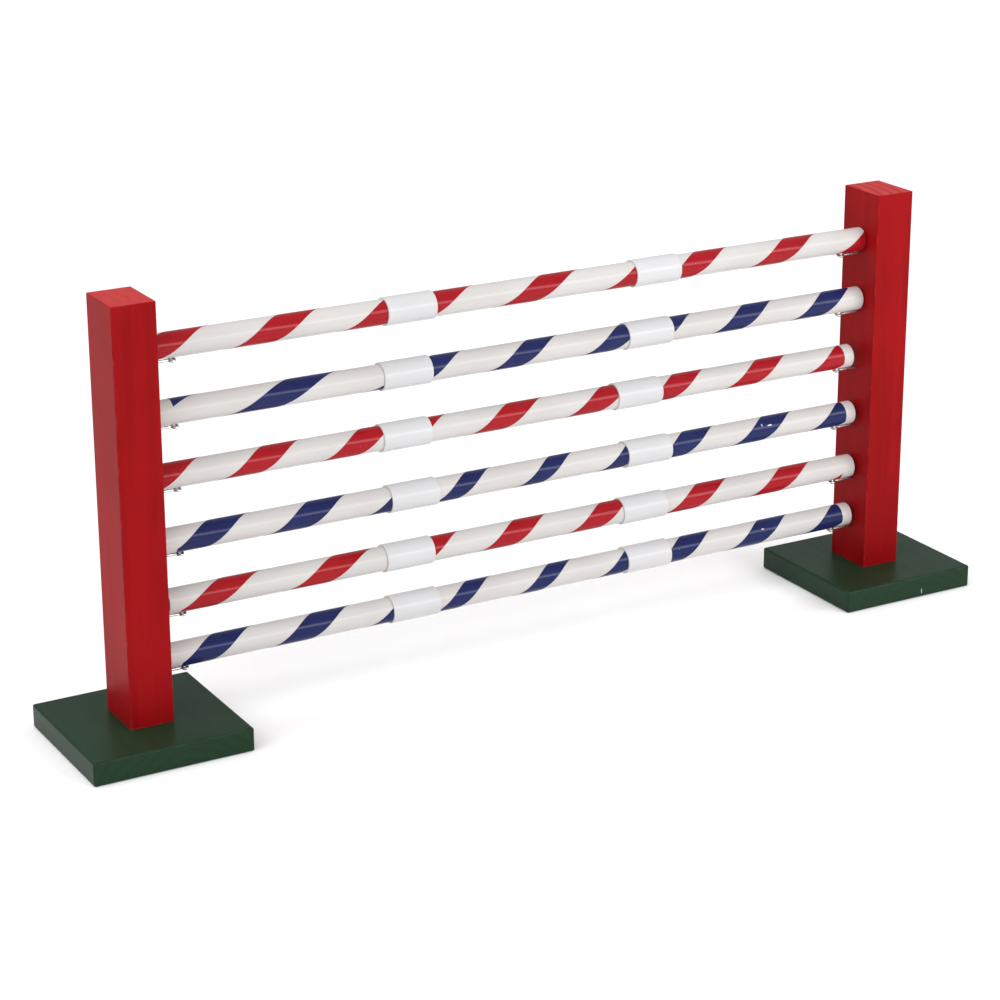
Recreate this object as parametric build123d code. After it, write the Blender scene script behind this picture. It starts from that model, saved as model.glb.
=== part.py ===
"""Small-animal agility hurdle: two wooden stands and six bars that lie on screw eyes.

Millimetres, +Z up, the floor at Z = 0. X runs along the bars, and the front is -Y.
"""
from build123d import *
from math import acos, degrees, sin
import os

# ---- stands ----
post_width = 33.5          # along X
post_depth = 45.0          # along Y
post_length = 313.5
post_spacing = 648.5       # centre to centre along X
post_setback = 2.5         # the posts stand this far behind the middle of their bases
post_edge = 0.8            # eased arrises
base_width = 123.0         # along X
base_depth = 120.0         # along Y
base_thickness = 18.0
base_edge = 1.6            # sanded round

# ---- bars, top bar first ----
bar_heights = (292.0, 243.1, 195.9, 147.2, 101.0, 59.0)   # axes above the floor
bar_shifts = (2.4, 1.5, -3.7, 0.1, 1.4, 0.4)              # each bar lies a little off centre along X
tube_length = 202.0        # one of the three sections of a bar
tube_outer = 18.8
tube_wall = 1.4
tube_edge = 0.3
joint_gaps = (1.5, 2.0, 0.0, 0.0, 0.0, 0.0)               # the sections of some bars don't quite meet
sleeve_length = 40.0
sleeve_wall = 1.25
sleeve_edge = 0.3
left_sleeve_shifts = (-2.75, -5.5, -2.5, -0.5, -6.5, -1.0)   # sleeves are pushed on by hand, off the joint
right_sleeve_shifts = (6.75, 1.5, -1.5, 4.5, -0.5, 5.0)

# ---- screw eyes that carry the bars ----
eye_wire = 2.1
eye_reach = 22.2           # from the post's face to the far side of the ring
eye_ring_outer = 6.2
eye_neck_radius = 2.0      # the reverse bend between rod and ring
eye_mouth = 135.0          # where the wire's cut end stops, in degrees from the ring's far side
eye_tilt = 17.0            # the ring's front edge is turned down this far
eye_drop = 11.2            # the rod's axis lies this far below the bar's axis
eye_shank = 13.0           # length inside the post
eye_thread_outer = 2.5
eye_thread_root = 1.7
eye_thread_pitch = 0.9
eye_tip = 1.8

# ---- wood screws that hold each post on its base ----
screw_length = 50.0
screw_outer = 4.0
screw_root = 2.8
screw_pitch = 1.8
screw_tip = 4.0
screw_smooth = 16.0        # plain length under the head
screw_head_outer = 8.0
screw_head_height = 2.4
screw_recess = 0.6         # the heads lie this far inside the base's underside
screw_clearance = 0.15     # radial play in the base's holes
screw_spacing = 24.0       # along Y
cross_width = 1.1          # the driver's cross recess
cross_length = 4.6
cross_depth = 1.6
pilot_spare = 0.5          # every drilled hole runs on this far past its screw

sides = {"left": -1, "right": 1}
standing = (Align.CENTER, Align.CENTER, Align.MIN)
hanging = (Align.CENTER, Align.CENTER, Align.MAX)


def threaded_rod(outer, root, pitch, length, tip):
    """A screw thread drawn as rings, along +Z from 0 to length, with a pointed end."""
    turns = int((length - tip) / pitch)
    start = length - tip - turns * pitch
    points = [(0, 0), (root / 2, 0), (root / 2, start)]
    for turn in range(turns):
        low = start + turn * pitch
        points.append((outer / 2, low + pitch / 2))
        points.append((root / 2, low + pitch))
    points.append((0, length))
    return revolve(Plane.XZ * make_face(Polyline(*points, close=True)), Axis.Z)


def stand_x(side):
    return sides[side] * post_spacing / 2


def screw_places(side):
    """Where the two wood screws rise through the base, on the floor plane."""
    return [Pos(stand_x(side), post_setback + row * screw_spacing / 2, 0) for row in (-1, 1)]


def eye_place(side, height):
    """The spot on the post's inner face where a screw eye goes in; its Z points to the other stand."""
    face_x = stand_x(side) - sides[side] * post_width / 2
    spot = Plane((face_x, post_setback, height - eye_drop), x_dir=(0, 1, 0), z_dir=(-sides[side], 0, 0))
    return Location(spot)


def post(side):
    timber = Box(post_width, post_depth, post_length, align=standing)
    upright_edges = timber.edges().filter_by(Axis.Z)
    top_edges = timber.edges().group_by(Axis.Z)[-1]
    timber = Pos(stand_x(side), post_setback, base_thickness) * fillet(upright_edges + top_edges, post_edge)
    for height in bar_heights:
        hole = Cylinder(eye_thread_outer / 2, eye_shank + pilot_spare, align=hanging)
        timber -= eye_place(side, height) * hole
    pilot_top = screw_recess + screw_length + pilot_spare
    for place in screw_places(side):
        pilot = Cylinder(screw_outer / 2, pilot_top - base_thickness, align=standing)
        timber -= place * Pos(0, 0, base_thickness) * pilot
    return timber


def base(side):
    board = fillet(Box(base_width, base_depth, base_thickness, align=standing).edges(), base_edge)
    board = Pos(stand_x(side), 0, 0) * board
    for place in screw_places(side):
        bore = Cylinder(screw_outer / 2 + screw_clearance, base_thickness, align=standing)
        mouth = Cylinder(screw_head_outer / 2, screw_recess, align=standing)
        sink = Cone(screw_head_outer / 2, screw_outer / 2, screw_head_height, align=standing)
        board -= place * bore
        board -= place * mouth
        board -= place * Pos(0, 0, screw_recess) * sink
    return board


def wood_screw():
    """A countersunk screw, head down on Z = 0, with a cross recess in its head."""
    head = Cone(screw_head_outer / 2, screw_outer / 2, screw_head_height, align=standing)
    neck = Cylinder(screw_outer / 2, screw_smooth, align=standing)
    thread_length = screw_length - screw_smooth
    thread = Pos(0, 0, screw_smooth) * threaded_rod(screw_outer, screw_root, screw_pitch, thread_length,
                                                    screw_tip)
    screw = head + neck + thread
    for length, width in ((cross_length, cross_width), (cross_width, cross_length)):
        screw -= Box(length, width, cross_depth, align=standing)
    return screw


def base_screws(side):
    return Compound([place * Pos(0, 0, screw_recess) * wood_screw() for place in screw_places(side)])


def screw_eye():
    """Shank along -Z from the post's face, rod along +Z, and a ring bent in the plane XZ."""
    ring_radius = (eye_ring_outer - eye_wire) / 2
    bend = acos(eye_neck_radius / (eye_neck_radius + ring_radius))
    ring_centre = eye_reach - eye_ring_outer / 2
    rod_end = ring_centre - (ring_radius + eye_neck_radius) * sin(bend)
    rod = Line((0, 0), (rod_end, 0))
    neck = JernArc(rod @ 1, rod % 1, eye_neck_radius, -degrees(bend))
    ring_start = -90.0 - degrees(bend)
    ring = JernArc(neck @ 1, neck % 1, ring_radius, eye_mouth - ring_start)
    path = Curve() + [rod, neck, ring]
    wire = sweep(Plane.YZ * Circle(eye_wire / 2), path=path)
    bent_wire = Plane((0, 0, 0), x_dir=(0, 0, 1), z_dir=(0, 1, 0)).location * wire
    shank = threaded_rod(eye_thread_outer, eye_thread_root, eye_thread_pitch, eye_shank, eye_tip)
    return bent_wire + Rot(180, 0, 0) * shank


def placed_eye(side, height):
    """The ring lies nearly level, with its front edge turned down by eye_tilt."""
    return eye_place(side, height) * Rot(0, 0, -sides[side] * eye_tilt) * screw_eye()


def pipe(length, outer, wall, edge):
    """A plain tube along X about the origin, its outer end edges eased."""
    body = Cylinder(outer / 2, length, rotation=(0, 90, 0))
    body = fillet(body.edges(), edge)
    return body - Cylinder(outer / 2 - wall, length, rotation=(0, 90, 0))


def bar_pieces(number):
    """The three tubes and two sleeves of one bar, by node name."""
    index = number - 1
    x = bar_shifts[index]
    axis = Pos(x, post_setback, bar_heights[index])
    tube = pipe(tube_length, tube_outer, tube_wall, tube_edge)
    sleeve = pipe(sleeve_length, tube_outer + 2 * sleeve_wall, sleeve_wall, sleeve_edge)
    step = tube_length + joint_gaps[index]
    joint = step / 2
    return {
        f"bar_{number}_left_tube": axis * Pos(-step, 0, 0) * tube,
        f"bar_{number}_middle_tube": axis * tube,
        f"bar_{number}_right_tube": axis * Pos(step, 0, 0) * tube,
        f"bar_{number}_left_sleeve": axis * Pos(left_sleeve_shifts[index] - joint, 0, 0) * sleeve,
        f"bar_{number}_right_sleeve": axis * Pos(right_sleeve_shifts[index] + joint, 0, 0) * sleeve,
    }


nodes = {}
for side in sides:
    nodes[f"{side}_base"] = base(side)
    nodes[f"{side}_post"] = post(side)
    nodes[f"{side}_base_screws"] = base_screws(side)
    for number, height in enumerate(bar_heights, start=1):
        nodes[f"{side}_eye_{number}"] = placed_eye(side, height)
for number in range(1, len(bar_heights) + 1):
    nodes.update(bar_pieces(number))

os.makedirs("parts", exist_ok=True)
for name, shape in nodes.items():
    export_step(shape, f"parts/{name}.step")
print(len(nodes), "nodes")
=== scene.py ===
"""The agility hurdle's looks: painted stands, glossy tubes with wound colour bands, nickel screw eyes."""

from math import cos, pi, radians, sin

import bmesh
import bpy
from mathutils import Matrix, Vector


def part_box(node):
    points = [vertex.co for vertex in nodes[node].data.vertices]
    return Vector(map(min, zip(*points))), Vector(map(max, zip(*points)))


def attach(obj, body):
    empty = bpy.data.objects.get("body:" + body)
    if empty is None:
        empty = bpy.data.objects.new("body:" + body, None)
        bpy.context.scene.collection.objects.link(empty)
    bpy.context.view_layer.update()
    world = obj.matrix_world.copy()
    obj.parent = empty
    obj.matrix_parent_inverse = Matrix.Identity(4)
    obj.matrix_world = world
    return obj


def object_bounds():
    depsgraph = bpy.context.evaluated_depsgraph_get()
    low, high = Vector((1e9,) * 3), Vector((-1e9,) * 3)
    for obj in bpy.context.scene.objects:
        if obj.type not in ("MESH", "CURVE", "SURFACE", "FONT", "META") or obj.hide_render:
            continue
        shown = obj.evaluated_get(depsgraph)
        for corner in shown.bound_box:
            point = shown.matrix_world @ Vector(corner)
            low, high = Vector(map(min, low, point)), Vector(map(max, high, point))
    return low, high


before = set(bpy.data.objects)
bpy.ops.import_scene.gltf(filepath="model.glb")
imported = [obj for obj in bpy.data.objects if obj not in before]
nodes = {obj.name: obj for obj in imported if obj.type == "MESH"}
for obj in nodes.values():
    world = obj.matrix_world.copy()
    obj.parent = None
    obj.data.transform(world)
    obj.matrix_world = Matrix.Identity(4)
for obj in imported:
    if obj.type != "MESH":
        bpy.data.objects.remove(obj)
cad_low, cad_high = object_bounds()

MM = 0.001
AXES = (0, 1, 2)
X, Y, Z = AXES
BARS = (1, 2, 3, 4, 5, 6)         # from the top; odd bars are red and white, even bars blue and white
SIDES = ("left", "right")
SECTIONS = ("left", "middle", "right")

# One winding per tube, in millimetres: where a band's left edge crosses the very front of the tube,
# measured from the hurdle's middle, then the pitch of the winding and the width of the band along the tube.
WINDINGS = {
    1: ((-229.5, 88.0, 31.5), (-12.5, 91.0, 31.0), (127.0, 84.0, 29.0)),
    2: ((-230.0, 112.0, 38.5), (-22.5, 82.0, 25.5), (175.5, 76.5, 27.0)),
    3: ((-242.5, 79.0, 29.0), (-39.5, 83.0, 29.0), (189.0, 78.5, 28.0)),
    4: ((-287.5, 80.0, 30.5), (-0.5, 73.0, 20.0), (196.5, 75.0, 28.0)),
    5: ((-283.0, 91.5, 31.5), (-33.0, 77.5, 28.0), (134.0, 81.0, 28.5)),
    6: ((-287.5, 80.0, 30.0), (-1.0, 73.0, 20.0), (195.5, 74.5, 28.0)),
}
BARE_END = 9.3                    # most bands stop this far short of the bar's end, in millimetres
OTHER_BARE_ENDS = {
    (1, "left"): 0.0,
    (1, "right"): 0.0,
    (2, "left"): 11.5,
    (3, "left"): 0.0,
    (5, "right"): 12.0,
}
BAND_THICKNESS = 0.12 * MM
BAND_BEVEL = 0.08 * MM
BAND_ROOT = 0.05 * MM             # how far a band's sides reach into the tube
BAND_STEP = radians(4)            # the mesh's step round the tube, at most
BAND_CREASE = radians(25)         # edges sharper than this are drawn sharp
WELD = 0.0001 * MM                # points nearer than this are one point
UNDER_SLEEVE = 3 * MM             # a band runs on this far under a sleeve


# ---- node helpers ----

class Shader:
    """A material's node tree, with short calls for the nodes that the materials here share."""

    def __init__(self, name):
        self.material = bpy.data.materials.new(name)
        self.material.use_nodes = True
        self.tree = self.material.node_tree
        self.surface = self.tree.nodes["Principled BSDF"]
        coordinates = self.add("ShaderNodeTexCoord")
        self.place = coordinates.outputs["Object"]
        self.normal = coordinates.outputs["Normal"]

    def add(self, kind, **settings):
        node = self.tree.nodes.new(kind)
        for key, value in settings.items():
            setattr(node, key, value)
        return node

    def feed(self, socket, value):
        if isinstance(value, bpy.types.NodeSocket):
            self.tree.links.new(value, socket)
        else:
            socket.default_value = value

    def math(self, operation, first, second=0.0):
        node = self.add("ShaderNodeMath", operation=operation)
        self.feed(node.inputs[0], first)
        self.feed(node.inputs[1], second)
        return node.outputs[0]

    def blend(self, *parts):
        """The sum of some values, each times its own weight."""
        total = None
        for value, weight in parts:
            share = self.math("MULTIPLY", value, weight)
            total = share if total is None else self.math("ADD", total, share)
        return total

    def split(self, vector):
        node = self.add("ShaderNodeSeparateXYZ")
        self.feed(node.inputs[0], vector)
        return node.outputs

    def moved(self, offset, scale):
        """The place on the object, times scale, plus offset."""
        node = self.add("ShaderNodeMapping")
        self.feed(node.inputs["Vector"], self.place)
        node.inputs["Location"].default_value = offset
        node.inputs["Scale"].default_value = scale
        return node.outputs[0]

    def noise(self, size, stretch=(1, 1, 1), detail=2.0, roughness=0.5):
        """Noise with features about size metres across, longer along an axis whose stretch is under 1."""
        node = self.add("ShaderNodeTexNoise")
        self.feed(node.inputs["Vector"], self.moved((0, 0, 0), stretch))
        node.inputs["Scale"].default_value = 1 / size
        node.inputs["Detail"].default_value = detail
        node.inputs["Roughness"].default_value = roughness
        return node.outputs["Fac"]

    def ramp(self, value, low, high, start=0.0, end=1.0):
        """start below low, end above high, and smooth between."""
        node = self.add("ShaderNodeMapRange", interpolation_type="SMOOTHSTEP")
        self.feed(node.inputs["Value"], value)
        for key, number in (("From Min", low), ("From Max", high), ("To Min", start), ("To Max", end)):
            self.feed(node.inputs[key], number)
        return node.outputs["Result"]

    def mix(self, factor, first, second):
        node = self.add("ShaderNodeMix", data_type="RGBA")
        colours = [socket for socket in node.inputs if socket.type == "RGBA"]
        self.feed(node.inputs["Factor"], factor)
        for socket, colour in zip(colours, (first, second)):
            self.feed(socket, colour if isinstance(colour, bpy.types.NodeSocket) else (*colour, 1.0))
        return [socket for socket in node.outputs if socket.type == "RGBA"][0]

    def tint(self, colour, towards, where, strength):
        """The colour, moved towards another one by strength where the third value is 1."""
        return self.mix(self.math("MULTIPLY", where, strength), colour, towards)

    def bump(self, height, distance, strength):
        node = self.add("ShaderNodeBump")
        self.feed(node.inputs["Height"], height)
        node.inputs["Distance"].default_value = distance
        node.inputs["Strength"].default_value = strength
        self.feed(self.surface.inputs["Normal"], node.outputs[0])

    def set(self, **values):
        """Sets or links the surface's inputs, named with _ for each space."""
        for key, value in values.items():
            self.feed(self.surface.inputs[key.replace("_", " ")], value)


def grain_stretch(along, factor):
    """Scales for noise that is drawn out along the timber's length."""
    return [factor if axis == along else 1 for axis in AXES]


def growth_rings(shader, along, pith, spacing):
    """0 to 1 across each growth ring, for timber whose length runs along one axis, round a pith line."""
    coordinates = shader.split(shader.place)
    across = [axis for axis in AXES if axis != along]
    waves = shader.noise(WAVE_LENGTH, grain_stretch(along, WAVE_STRETCH))
    squares = []
    for axis, centre in zip(across, pith):
        offset = shader.math("SUBTRACT", coordinates[axis], centre)
        squares.append(shader.math("MULTIPLY", offset, offset))
    radius = shader.math("SQRT", shader.math("ADD", *squares))
    drift = shader.math("MULTIPLY", shader.math("SUBTRACT", waves, 0.5), WAVE_DRIFT * spacing)
    turns = shader.math("DIVIDE", shader.math("ADD", radius, drift), spacing)
    return shader.math("FRACT", turns)


def edge_distance(shader, low, high):
    """Distance from the nearest edge of a box, for points on its faces."""
    depths = []
    for axis, coordinate in enumerate(shader.split(shader.place)):
        middle = (low[axis] + high[axis]) / 2
        half = (high[axis] - low[axis]) / 2
        reach = shader.math("ABSOLUTE", shader.math("SUBTRACT", coordinate, middle))
        depths.append(shader.math("SUBTRACT", half, reach))
    pairs = [shader.math("MAXIMUM", depths[a], depths[b]) for a, b in ((X, Y), (X, Z), (Y, Z))]
    return shader.math("MINIMUM", pairs[0], shader.math("MINIMUM", pairs[1], pairs[2]))


def facing(shader, axis):
    """1 on faces square to one axis, 0 on the others."""
    slope = shader.math("ABSOLUTE", shader.split(shader.normal)[axis])
    return shader.ramp(slope, 0.6, 0.9)


def spot(shader, centre, size):
    """1 inside a small ragged ellipsoid, 0 outside. The centre and the half sizes are in metres."""
    scale = [1 / value for value in size]
    offset = [-middle / value for middle, value in zip(centre, size)]
    length = shader.add("ShaderNodeVectorMath", operation="LENGTH")
    shader.feed(length.inputs[0], shader.moved(offset, scale))
    ragged = shader.math("MULTIPLY", shader.noise(SPOT_GRAIN), SPOT_RAGGED)
    return shader.ramp(shader.math("ADD", length.outputs["Value"], ragged), 1.1, 1.4, 1.0, 0.0)


# ---- materials ----

WAVE_LENGTH = 30 * MM             # the growth rings wander over this distance,
WAVE_STRETCH = 0.12               # more slowly along the timber,
WAVE_DRIFT = 1.5                  # and by this many ring spacings
SPOT_GRAIN = 1.5 * MM             # the outline of a chip is ragged at this scale,
SPOT_RAGGED = 0.9                 # and by this share of its size
FIBRE_STRETCH = 0.03              # wood fibres and brush streaks along the timber
WORN_EDGE = (0.1 * MM, 1.3 * MM)  # the rub on an edge is full up to the first and gone at the second distance
PAINT_ROUGHNESS = 0.36
BARE_WOOD = (0.30, 0.38, 0.31)    # pale wood in a nick, with some green left on it
CHIP_WHITE = (0.62, 0.62, 0.64)   # what shows where the colour film is chipped


def painted_timber(name, node, along, pith, spacing, end_rings, colours, gloss, nicks=()):
    """Satin paint over planed softwood.

    The end faces take their own tone and show their rings, and the edges are a little rubbed. On the posts
    the end tone is painted light: their tops are painted much paler than their sides, standing in for light
    from above and a painted sheen, with real growth rings over it.
    """
    deep, body, worn, end = colours
    low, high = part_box(node)
    shader = Shader(name)
    stretch = grain_stretch(along, FIBRE_STRETCH)
    late_wood = shader.ramp(growth_rings(shader, along, pith, spacing), 0.45, 0.95)
    fibres = shader.noise(2.2 * MM, stretch)
    streaks = shader.noise(9 * MM, stretch)
    clouds = shader.noise(60 * MM)
    tone = shader.blend((streaks, 0.5), (clouds, 0.5))
    paint = shader.mix(shader.ramp(tone, 0.36, 0.64), deep, body)
    paint = shader.tint(paint, deep, late_wood, strength=0.10)
    paint = shader.tint(paint, worn, shader.ramp(fibres, 0.60, 0.80), strength=0.10)
    end_face = facing(shader, along)
    # painted light: the end tone makes the posts' tops much paler than their sides, standing in for light
    # from above and sheen; the rings drawn over it are real grain
    painted_light_end_with_rings = shader.tint(end, deep, late_wood, strength=end_rings)
    paint = shader.mix(end_face, paint, painted_light_end_with_rings)
    edge = shader.ramp(edge_distance(shader, low, high), *WORN_EDGE, 1.0, 0.0)
    rub = shader.math("MULTIPLY", edge, shader.ramp(shader.noise(12 * MM, detail=3.0), 0.46, 0.72))
    paint = shader.tint(paint, worn, rub, strength=0.30)
    for centre, size in nicks:
        paint = shader.mix(spot(shader, centre, size), paint, BARE_WOOD)
    ridges = shader.math("MULTIPLY", late_wood, end_face)
    height = shader.blend((fibres, 0.35), (clouds, 1.0), (late_wood, 0.15), (ridges, 4 * end_rings))
    shader.bump(height, distance=0.10 * MM, strength=0.8)
    sheen = shader.ramp(streaks, 0.3, 0.7, PAINT_ROUGHNESS - 0.03, PAINT_ROUGHNESS + 0.04)
    shader.set(Base_Color=paint, Roughness=sheen, Specular_IOR_Level=gloss)
    return shader.material


def gloss_plastic(name, light, shade, cut, roughness, gloss):
    """Extruded tube: broad draw lines along X, slight clouds, and cut ends that have their own tone."""
    shader = Shader(name)
    clouds = shader.noise(40 * MM, (0.5, 1, 1))
    lines = shader.noise(5 * MM, (0.02, 1, 1), detail=1.0)
    marks = shader.noise(9 * MM, (0.4, 1, 1))
    colour = shader.mix(shader.ramp(clouds, 0.35, 0.68), light, shade)
    colour = shader.tint(colour, shade, shader.ramp(lines, 0.45, 0.75), strength=0.3)
    colour = shader.mix(facing(shader, X), colour, cut)
    shader.bump(shader.blend((lines, 0.3), (clouds, 1.0)), distance=0.05 * MM, strength=0.5)
    sheen = shader.ramp(marks, 0.35, 0.7, roughness, roughness + 0.04)
    shader.set(Base_Color=colour, Roughness=sheen, Specular_IOR_Level=gloss)
    return shader.material


def band_film(name, deep, body, roughness, gloss, scrapes=()):
    """Printed colour film: even and glossy, with a few small chips and scrapes where the white shows."""
    shader = Shader(name)
    clouds = shader.noise(26 * MM)
    grain = shader.noise(4 * MM, detail=1.0)
    chips = shader.noise(2.4 * MM, (0.6, 1, 1), detail=3.0, roughness=0.6)
    colour = shader.mix(shader.ramp(clouds, 0.33, 0.68), deep, body)
    colour = shader.tint(colour, deep, shader.ramp(grain, 0.4, 0.75), strength=0.15)
    colour = shader.mix(shader.ramp(chips, 0.775, 0.79), colour, CHIP_WHITE)
    for centre, size in scrapes:
        colour = shader.mix(spot(shader, centre, size), colour, CHIP_WHITE)
    shader.bump(clouds, distance=0.05 * MM, strength=0.5)
    sheen = shader.ramp(grain, 0.3, 0.7, roughness, roughness + 0.04)
    shader.set(Base_Color=colour, Roughness=sheen, Specular_IOR_Level=gloss)
    return shader.material


def plated_wire(name, bright, dull, roughness):
    """Nickel or zinc on steel: the plating is clouded, and rougher where it is dull."""
    shader = Shader(name)
    clouds = shader.noise(3 * MM)
    colour = shader.mix(shader.ramp(clouds, 0.35, 0.7), bright, dull)
    shader.bump(clouds, distance=0.03 * MM, strength=0.5)
    sheen = shader.ramp(clouds, 0.3, 0.7, roughness, roughness + 0.10)
    shader.set(Base_Color=colour, Metallic=1.0, Roughness=sheen)
    return shader.material


def dress(node, material):
    """Puts one material on all of a CAD node's slots."""
    mesh = nodes[node].data
    for index in range(len(mesh.materials)):
        mesh.materials[index] = material
    if not mesh.materials:
        mesh.materials.append(material)


# ---- the stands ----

# deep, body, worn and end tones of the two paints; the red end tone is painted light, making the posts' tops
# much paler than their sides as if lit from above with a sheen, while the green end tone matches its body
RED_PAINT = ((0.225, 0.0034, 0.0048), (0.280, 0.0046, 0.0063), (0.42, 0.055, 0.055), (0.49, 0.030, 0.030))
GREEN_PAINT = ((0.0095, 0.029, 0.0135), (0.0120, 0.034, 0.0165), (0.05, 0.085, 0.055), (0.012, 0.034, 0.016))
POST_GLOSS = 0.04
POST_PITH = (60 * MM, 12 * MM)                      # left of the post, and in front of its back face
POST_RING_SPACING = 9 * MM
POST_END_RINGS = {"left": 0.15, "right": 0.6}       # how clearly the rings show in the post's top
BASE_GLOSS = {"left": 0.11, "right": 0.12}
BASE_PITH = (12 * MM, 35 * MM)                      # right of the base's middle, and below it
BASE_RING_SPACING = 8 * MM
BASE_END_RINGS = 0.6

# nicks in the bases' paint: centre, then half sizes
NICKS = {
    "left": (),
    "right": (((337 * MM, -60 * MM, 5 * MM), (0.6 * MM, 2 * MM, 2.4 * MM)),),
}


def dress_stand(side):
    """Paints one stand. Each piece's pith line lies outside its timber, so the rings cross it as arcs."""
    post_low, post_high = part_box(f"{side}_post")
    base_low, base_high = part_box(f"{side}_base")
    post_pith = (post_low.x - POST_PITH[0], post_high.y - POST_PITH[1])
    base_pith = ((base_low.x + base_high.x) / 2 + BASE_PITH[0], base_low.z - BASE_PITH[1])
    dress(f"{side}_post", painted_timber(
        f"{side}_post_paint", f"{side}_post", Z, post_pith, POST_RING_SPACING, POST_END_RINGS[side],
        RED_PAINT, POST_GLOSS))
    dress(f"{side}_base", painted_timber(
        f"{side}_base_paint", f"{side}_base", Y, base_pith, BASE_RING_SPACING, BASE_END_RINGS,
        GREEN_PAINT, BASE_GLOSS[side], NICKS[side]))


nickel = plated_wire("nickel_wire", bright=(0.72, 0.715, 0.70), dull=(0.52, 0.515, 0.50), roughness=0.27)
zinc = plated_wire("zinc_screw", bright=(0.66, 0.64, 0.56), dull=(0.50, 0.48, 0.40), roughness=0.28)
for stand_side in SIDES:
    dress_stand(stand_side)
    dress(f"{stand_side}_base_screws", zinc)
    for number in BARS:
        dress(f"{stand_side}_eye_{number}", nickel)


# ---- the bars ----

# scrapes in the blue film of some right-hand tubes: bar, place along X in millimetres, angle above the
# tube's front in degrees, and the scrape's half sizes in millimetres
SCRAPES = (
    (4, 219.0, 30, (2.6, 1.2, 0.7)),
    (4, 211.5, 36, (0.5, 1.2, 1.4)),
    (4, 223.5, -16, (0.8, 1.2, 0.7)),
    (6, 215.0, 33, (1.7, 1.2, 0.5)),
    (6, 222.0, -8, (0.7, 1.2, 0.7)),
)


def scrape_places():
    """Each scrape's centre and half sizes in metres, on the surface of its tube."""
    places = []
    for number, x, angle, size in SCRAPES:
        low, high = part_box(f"bar_{number}_right_tube")
        radius = (high.z - low.z) / 2
        y = (low.y + high.y) / 2 - radius * cos(radians(angle))
        z = (low.z + high.z) / 2 + radius * sin(radians(angle))
        places.append(((x * MM, y, z), [value * MM for value in size]))
    return places


tube_white = gloss_plastic(
    "tube_white", light=(0.556, 0.535, 0.520), shade=(0.522, 0.500, 0.484), cut=(0.60, 0.31, 0.13),
    roughness=0.19, gloss=0.15)
sleeve_white = gloss_plastic(
    "sleeve_white", light=(0.57, 0.565, 0.575), shade=(0.545, 0.54, 0.55), cut=(0.54, 0.53, 0.52),
    roughness=0.20, gloss=0.18)
red_film = band_film(
    "red_film", deep=(0.290, 0.0062, 0.0108), body=(0.322, 0.0072, 0.0126), roughness=0.19, gloss=0.15)
blue_film = band_film(
    "blue_film", deep=(0.0112, 0.0164, 0.079), body=(0.0136, 0.0196, 0.091), roughness=0.19, gloss=0.15,
    scrapes=scrape_places())


def band_profile(left, right, radius):
    """The band's section at one angle: x and distance from the tube's axis, with eased outer corners."""
    ease = min(BAND_BEVEL, (right - left) / 2)
    top = radius + BAND_THICKNESS
    root = radius - BAND_ROOT
    left_side = (left, root), (left, top - ease), (left + ease, top)
    right_side = (right - ease, top), (right, top - ease), (right, root)
    return left_side + right_side


def band_angles(low, high, start, pitch, width):
    """Angles round the tube, from the band's first touch with low..high to its last, with its corners."""
    corners = [(x - start - back) / pitch * 2 * pi for x in (low, high) for back in (0, width)]
    first, last = min(corners), max(corners)
    count = int((last - first) / BAND_STEP) + 1
    return sorted(corners + [first + (last - first) * step / count for step in range(1, count)])


def wound_band(name, low, high, axis, radius, winding):
    """One colour band wound on a tube along X. The band crosses the front at angle 0, rising towards +X."""
    start, pitch, width = (value * MM for value in winding)
    mesh = bmesh.new()
    previous = None
    for angle in band_angles(low, high, start, pitch, width):
        edge = start + pitch * angle / (2 * pi)
        left = min(max(edge, low), high)
        right = min(max(edge + width, low), high)
        ring = []
        for x, reach in band_profile(left, right, radius):
            ring.append(mesh.verts.new((x, axis.y - reach * cos(angle), axis.z + reach * sin(angle))))
        if previous:
            for index in range(len(ring)):
                after = (index + 1) % len(ring)
                mesh.faces.new((previous[index], previous[after], ring[after], ring[index]))
        previous = ring
    bmesh.ops.remove_doubles(mesh, verts=mesh.verts, dist=WELD)
    bmesh.ops.dissolve_degenerate(mesh, edges=mesh.edges, dist=WELD)
    bmesh.ops.recalc_face_normals(mesh, faces=mesh.faces)
    data = bpy.data.meshes.new(name)
    mesh.to_mesh(data)
    mesh.free()
    data.shade_smooth()
    data.set_sharp_from_angle(angle=BAND_CREASE)
    piece = bpy.data.objects.new(name, data)
    bpy.context.scene.collection.objects.link(piece)
    return piece


def band_limits(number, section):
    """From where to where along X the band shows on one tube, with a little under each sleeve."""
    tube_low, tube_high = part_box(f"bar_{number}_{section}_tube")
    left_sleeve_low, left_sleeve_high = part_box(f"bar_{number}_left_sleeve")
    right_sleeve_low, right_sleeve_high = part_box(f"bar_{number}_right_sleeve")
    margin = OTHER_BARE_ENDS.get((number, section), BARE_END) * MM
    if section == "left":
        return tube_low.x + margin, left_sleeve_low.x + UNDER_SLEEVE
    if section == "middle":
        return left_sleeve_high.x - UNDER_SLEEVE, right_sleeve_low.x + UNDER_SLEEVE
    return right_sleeve_high.x - UNDER_SLEEVE, tube_high.x - margin


def dress_bar(number):
    film, slot = (red_film, "tube_red_striped") if number % 2 else (blue_film, "tube_blue_striped")
    for section, winding in zip(SECTIONS, WINDINGS[number]):
        tube = f"bar_{number}_{section}_tube"
        dress(tube, tube_white)
        low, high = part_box(tube)
        axis = (low + high) / 2
        radius = (high.z - low.z) / 2
        start, end = band_limits(number, section)
        band = wound_band(f"bar_{number}_{section}_band", start, end, axis, radius, winding)
        band.data.materials.append(film)
        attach(band, f"bar_{number}")
    for sleeve_side in SIDES:
        dress(f"bar_{number}_{sleeve_side}_sleeve", sleeve_white)


for number in BARS:
    dress_bar(number)


# ---- studio ----

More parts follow.
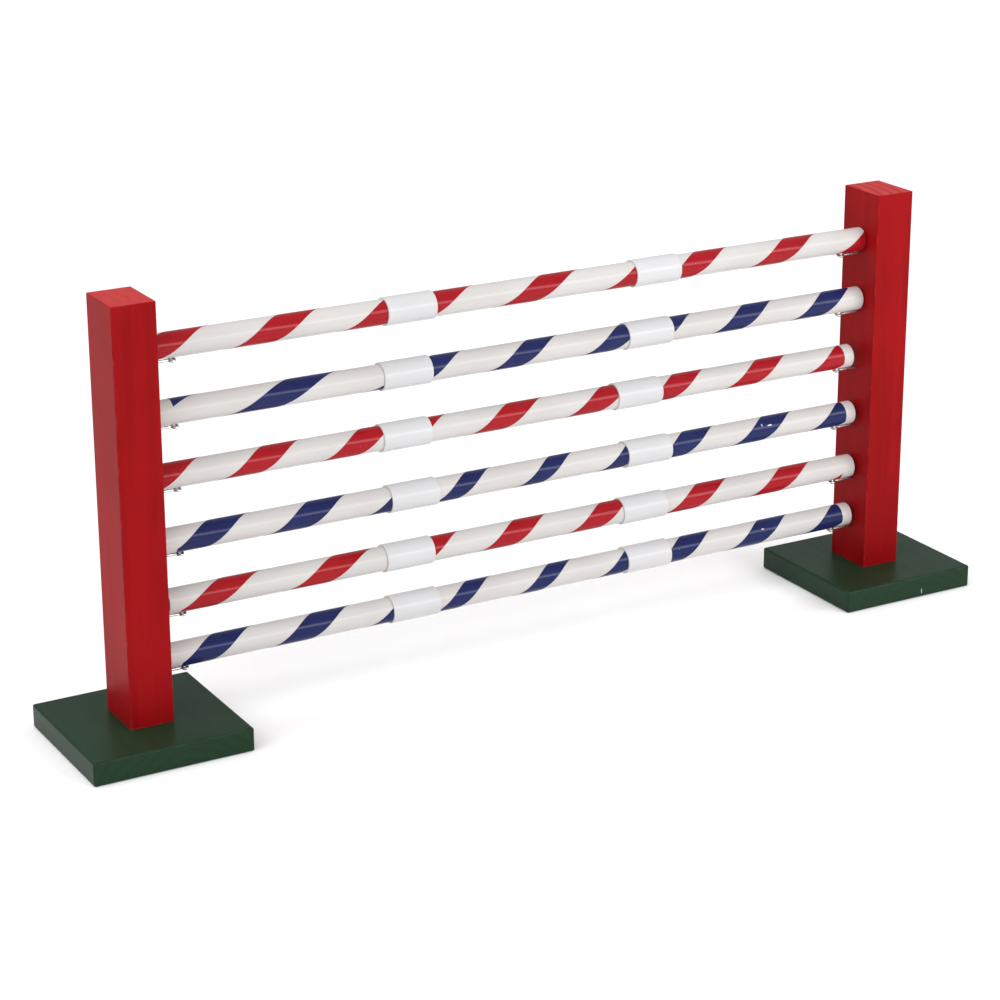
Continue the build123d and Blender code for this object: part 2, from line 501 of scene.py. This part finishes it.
SKY_LIGHT = 0.55                  # how brightly the sky lights the object,
BACKDROP = 1.0                    # and how bright it is where the camera sees it
SUN_SIDE = (-0.42, 0.02, 0.91)    # towards the light: from above and the left
PAPER = (0.95, 0.95, 0.95, 1.0)
FLOOR_REACH = 30.0
FLOOR_GAP = 0.2 * MM              # the floor lies this far under the bases
CAMERA_PLACE = (-1.0030, -1.7208, 0.8343)
CAMERA_AZIMUTH = radians(-29.593)
CAMERA_ELEVATION = radians(18.543)
CAMERA_ROLL = radians(-0.182)
CAMERA_SENSOR = 36.0
CAMERA_LENS = 2.7583              # focal length in widths of the sensor
CAMERA_SHIFT = -0.05
CAMERA_CLIP = (0.05, 200.0)


def area_light(name, place, target, size, power):
    lamp = bpy.data.lights.new(name, "AREA")
    lamp.shape = "RECTANGLE"
    lamp.size, lamp.size_y = size
    lamp.energy = power
    lamp_object = bpy.data.objects.new(name, lamp)
    lamp_object.location = place
    lamp_object.rotation_euler = (Vector(target) - Vector(place)).to_track_quat("-Z", "Y").to_euler()
    bpy.context.scene.collection.objects.link(lamp_object)


def soft_sun(name, side, spread, strength):
    """Light from one side of the sky, spread over many degrees."""
    lamp = bpy.data.lights.new(name, "SUN")
    lamp.energy = strength
    lamp.angle = radians(spread)
    lamp_object = bpy.data.objects.new(name, lamp)
    lamp_object.rotation_euler = Vector(side).to_track_quat("Z", "Y").to_euler()
    bpy.context.scene.collection.objects.link(lamp_object)


def make_floor():
    """A wide sheet of pale paper, clear from below so that the feet can be seen."""
    floor = bpy.data.objects.new("studio_floor", bpy.data.meshes.new("studio_floor"))
    corners = [(x * FLOOR_REACH, y * FLOOR_REACH, 0) for x, y in ((-1, -1), (1, -1), (1, 1), (-1, 1))]
    floor.data.from_pydata(corners, [], [(0, 1, 2, 3)])
    shader = Shader("studio_paper")
    underside = shader.add("ShaderNodeNewGeometry").outputs["Backfacing"]
    shader.set(Base_Color=PAPER, Roughness=0.9, Specular_IOR_Level=0.0)
    shader.set(Alpha=shader.math("SUBTRACT", 1.0, underside))
    floor.data.materials.append(shader.material)
    bpy.context.scene.collection.objects.link(floor)
    floor.location.z = cad_low.z - FLOOR_GAP


def make_world():
    """An even white sky that looks brighter than it lights."""
    world = bpy.data.worlds.new("studio")
    bpy.context.scene.world = world
    world.use_nodes = True
    background = world.node_tree.nodes["Background"]
    background.inputs["Color"].default_value = (1.0, 1.0, 1.0, 1.0)
    ray = world.node_tree.nodes.new("ShaderNodeLightPath")
    strength = world.node_tree.nodes.new("ShaderNodeMapRange")
    strength.inputs["To Min"].default_value = SKY_LIGHT
    strength.inputs["To Max"].default_value = BACKDROP
    world.node_tree.links.new(ray.outputs["Is Camera Ray"], strength.inputs["Value"])
    world.node_tree.links.new(strength.outputs["Result"], background.inputs["Strength"])


def make_camera():
    """A moderate telephoto, to the left of the front and a little above."""
    back = Vector((
        sin(CAMERA_AZIMUTH) * cos(CAMERA_ELEVATION),
        -cos(CAMERA_AZIMUTH) * cos(CAMERA_ELEVATION),
        sin(CAMERA_ELEVATION)))
    data = bpy.data.cameras.new("camera")
    data.sensor_width = CAMERA_SENSOR
    data.lens = CAMERA_SENSOR * CAMERA_LENS
    data.shift_y = CAMERA_SHIFT
    data.clip_start, data.clip_end = CAMERA_CLIP
    camera = bpy.data.objects.new("camera", data)
    turn = (-back).to_track_quat("-Z", "Y").to_matrix() @ Matrix.Rotation(CAMERA_ROLL, 3, "Z")
    camera.matrix_world = Matrix.Translation(CAMERA_PLACE) @ turn.to_4x4()
    bpy.context.scene.collection.objects.link(camera)
    bpy.context.scene.camera = camera


make_floor()
make_world()
soft_sun("sky_light", side=SUN_SIDE, spread=80, strength=1.75)
area_light("long_box", place=(1.0, -1.73, 0.90), target=(0.0, 0.0, 0.17), size=(1.6, 0.60), power=25.0)
area_light("left_box", place=(-2.0, -0.8, 1.3), target=(0.0, 0.0, 0.2), size=(1.2, 1.2), power=9.0)
make_camera()
bpy.context.scene.view_settings.view_transform = "Standard"
